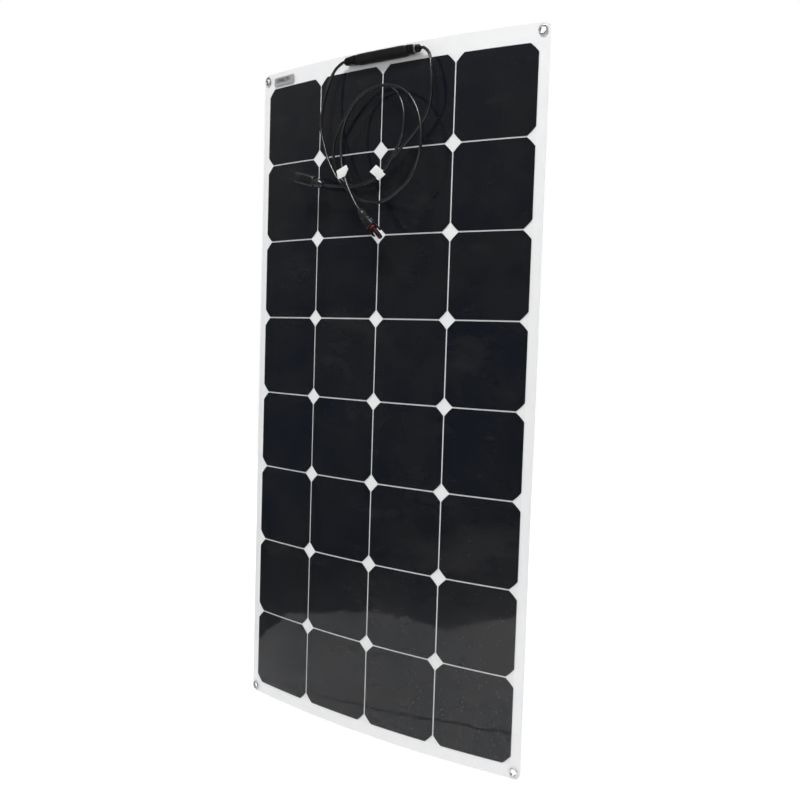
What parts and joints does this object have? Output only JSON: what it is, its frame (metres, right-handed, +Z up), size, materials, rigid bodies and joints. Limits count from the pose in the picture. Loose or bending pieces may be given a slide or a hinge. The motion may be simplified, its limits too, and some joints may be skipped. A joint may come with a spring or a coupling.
{
  "type": "flexible solar sheet",
  "caption": "Bowed flexible solar sheet of black back-contact cells on a white back sheet under clear film, with eyelets, a front junction box and looped leads with plugs.",
  "frame": {"origin": "midway between the centres of the two top eyelets, which hold the sheet up", "axes": "+Z up along the sheet's long side, -Y out of the side with the cells, +X to the right seen from the cells' side"},
  "size_m": [0.5344, 0.0751, 1.06],
  "materials": {
    "cell": "black monocrystalline silicon, back contacted, semi-gloss",
    "back_sheet": "white polymer back sheet",
    "front_film": "clear smooth glossy film",
    "eyelet_metal": "nickel-plated pressed metal",
    "box_plastic": "black fine-textured plastic",
    "diode_body": "black moulded body",
    "terminal_metal": "tinned brass",
    "lead_jacket": "black rubbery jacket, slight sheen",
    "plug_plastic": "black moulded plastic, slight gloss",
    "seal_rubber": "red silicone ring",
    "tape": "white plastic tape"
  },
  "bodies": {
    "middle": {"cell_r1_c2": "cell", "cell_r1_c3": "cell", "cell_r2_c2": "cell", "cell_r2_c3": "cell", "cell_r3_c2": "cell", "cell_r3_c3": "cell", "cell_r4_c2": "cell", "cell_r4_c3": "cell", "cell_r5_c2": "cell", "cell_r5_c3": "cell", "cell_r6_c2": "cell", "cell_r6_c3": "cell", "cell_r7_c2": "cell", "cell_r7_c3": "cell", "cell_r8_c2": "cell", "cell_r8_c3": "cell", "back_sheet_middle": "back_sheet", "front_film_middle": "front_film", "junction_base": "box_plastic", "left_gland": "box_plastic", "right_gland": "box_plastic", "bypass_diode": "diode_body", "negative_terminal": "terminal_metal", "positive_terminal": "terminal_metal", "left_lead": "lead_jacket", "right_lead": "lead_jacket", "fork_plug_housing": "plug_plastic", "shell_plug_housing": "plug_plastic", "fork_plug_seal": "seal_rubber", "left_flag": "tape", "right_flag": "tape"},
    "left_wing": {"cell_r1_c1": "cell", "cell_r2_c1": "cell", "cell_r3_c1": "cell", "cell_r4_c1": "cell", "cell_r5_c1": "cell", "cell_r6_c1": "cell", "cell_r7_c1": "cell", "cell_r8_c1": "cell", "back_sheet_left": "back_sheet", "front_film_left": "front_film", "eyelet_top_left": "eyelet_metal", "eyelet_bottom_left": "eyelet_metal"},
    "right_wing": {"cell_r1_c4": "cell", "cell_r2_c4": "cell", "cell_r3_c4": "cell", "cell_r4_c4": "cell", "cell_r5_c4": "cell", "cell_r6_c4": "cell", "cell_r7_c4": "cell", "cell_r8_c4": "cell", "back_sheet_right": "back_sheet", "front_film_right": "front_film", "eyelet_top_right": "eyelet_metal", "eyelet_bottom_right": "eyelet_metal"},
    "lid": {"junction_lid": "box_plastic"},
    "fork_nut": {"fork_plug_nut": "plug_plastic"},
    "shell_nut": {"shell_plug_nut": "plug_plastic"},
    "finger_a": {"fork_plug_finger_a": "plug_plastic"},
    "finger_b": {"fork_plug_finger_b": "plug_plastic"}
  },
  "joints": [
    {"name": "left_wing_flex", "type": "hinge", "parent": "middle", "child": "left_wing", "pos_m": [-0.12685, -0.01381, 0], "axis": [0, 0, -1], "range_deg": [-4, 15], "stiffness_Nm_per_rad": 12},
    {"name": "right_wing_flex", "type": "hinge", "parent": "middle", "child": "right_wing", "pos_m": [0.12685, -0.01381, 0], "axis": [0, 0, 1], "range_deg": [-4, 15], "stiffness_Nm_per_rad": 12},
    {"name": "junction_lid_lift", "type": "slide", "parent": "middle", "child": "lid", "axis": [0, -1, 0], "range_m": [0, 0.03]},
    {"name": "fork_nut_turn", "type": "hinge", "parent": "middle", "child": "fork_nut", "pos_m": [-0.0008, -0.066, -0.2372], "axis": [0.6541, 0.112, -0.7481], "range_deg": [0, 900]},
    {"name": "shell_nut_turn", "type": "hinge", "parent": "middle", "child": "shell_nut", "pos_m": [-0.092, -0.044, -0.19], "axis": [-0.9597, -0.035, 0.2789], "range_deg": [0, 900]},
    {"name": "finger_a_press", "type": "hinge", "parent": "middle", "child": "finger_a", "pos_m": [0.0261, -0.06227, -0.25764], "axis": [-0.0737, 0.9937, 0.0843], "range_deg": [0, 7], "stiffness_Nm_per_rad": 0.02},
    {"name": "finger_b_press", "type": "hinge", "parent": "middle", "child": "finger_b", "pos_m": [0.01586, -0.06227, -0.26659], "axis": [0.0737, -0.9937, -0.0843], "range_deg": [0, 7], "stiffness_Nm_per_rad": 0.02}
  ]
}
